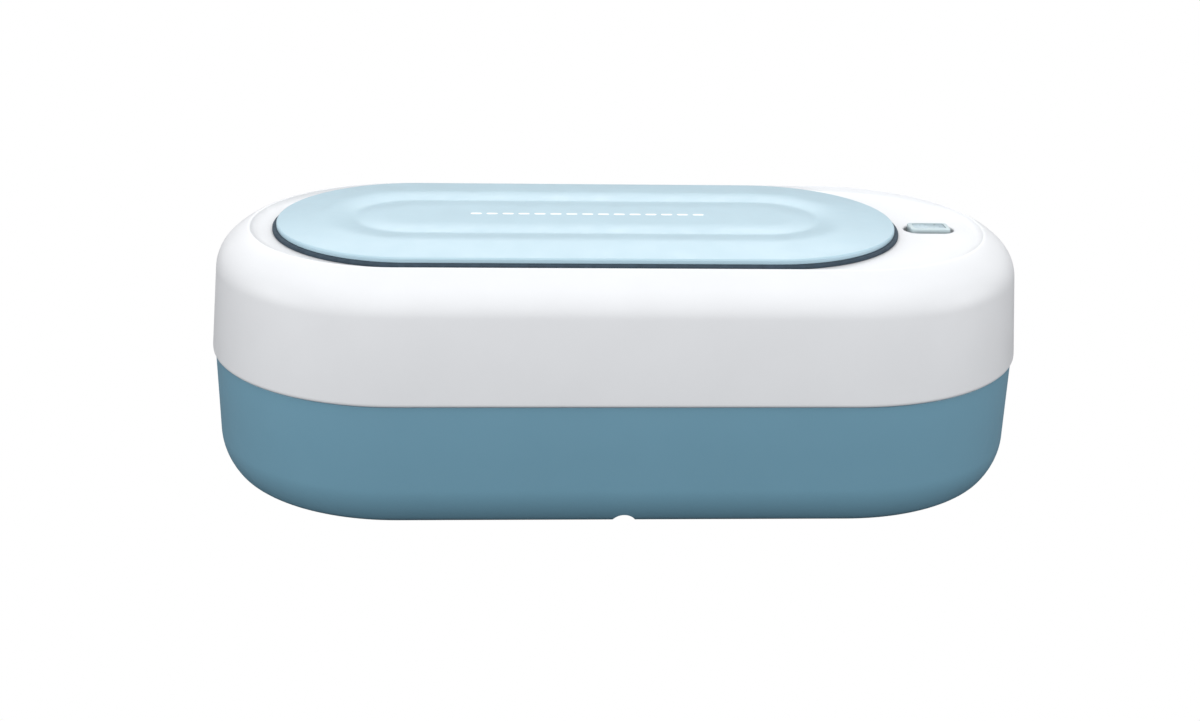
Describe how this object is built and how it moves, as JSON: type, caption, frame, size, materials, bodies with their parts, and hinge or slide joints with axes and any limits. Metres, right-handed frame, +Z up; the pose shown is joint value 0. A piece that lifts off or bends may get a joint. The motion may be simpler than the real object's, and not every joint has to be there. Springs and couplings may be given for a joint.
{
  "type": "ultrasonic cleaner",
  "caption": "Stadium-shaped bench ultrasonic cleaner with a lift-off lid over a steel tank and a push button on the deck.",
  "frame": {"origin": "centre of the footprint on the table, between the four feet", "axes": "+X along the length towards the button, -Y to the front, +Z up"},
  "size_m": [0.235, 0.11, 0.075],
  "materials": {
    "housing_white": "fine satin moulded ABS",
    "base_blue": "fine satin moulded ABS, dusty blue",
    "lid_blue": "fine satin moulded ABS, pale blue",
    "button_blue": "satin, slightly translucent",
    "seal_rubber": "dark slate silicone",
    "gasket_rubber": "grey silicone",
    "foot_rubber": "dull",
    "tank_steel": "drawn stainless, lightly polished",
    "plate_aluminium": "machined",
    "piezo_ceramic": "fired, silvered face",
    "board_green": "solder mask",
    "screw_steel": "zinc plated",
    "spring_steel": "bright wire",
    "ferrite": "matt sintered ferrite",
    "copper_winding": "enamelled copper wire",
    "capacitor_sleeve": "shrink sleeve",
    "film_epoxy": "dipped epoxy",
    "part_black": "moulded black",
    "sink_aluminium": "extruded",
    "header_ivory": "nylon",
    "wire_red": "PVC insulation",
    "wire_orange": "PVC insulation",
    "wire_grey": "PVC insulation",
    "led_lens": "clear lens"
  },
  "bodies": {
    "base": {"base_shell": "base_blue", "top_housing": "housing_white", "tank": "tank_steel", "tank_gasket": "gasket_rubber", "coupling_plate": "plate_aluminium", "piezo_disc": "piezo_ceramic", "plunger_spring": "spring_steel", "switch_body": "part_black", "switch_board": "board_green", "switch_screws": "screw_steel", "indicator_led": "led_lens", "driver_board": "board_green", "board_screws": "screw_steel", "transformer_core": "ferrite", "transformer_winding": "copper_winding", "bulk_capacitors": "capacitor_sleeve", "film_capacitors": "film_epoxy", "power_transistors": "part_black", "heat_sink": "sink_aluminium", "control_chip": "part_black", "board_headers": "header_ivory", "power_socket": "part_black", "socket_nut": "screw_steel", "power_leads": "wire_red", "transducer_leads": "wire_orange", "switch_cable": "wire_grey", "housing_screws": "screw_steel", "rubber_feet": "foot_rubber"},
    "lid": {"lid_cover": "lid_blue", "lid_seal": "seal_rubber"},
    "button": {"button_cap": "button_blue", "switch_plunger": "part_black"}
  },
  "joints": [
    {"name": "lid_lift", "type": "slide", "parent": "base", "child": "lid", "axis": [0, 0, 1], "range_m": [0, 0.14]},
    {"name": "button_press", "type": "slide", "parent": "base", "child": "button", "axis": [0, 0, -1], "range_m": [0, 0.0012], "stiffness_N_per_m": 800, "deforming": ["plunger_spring"]}
  ]
}
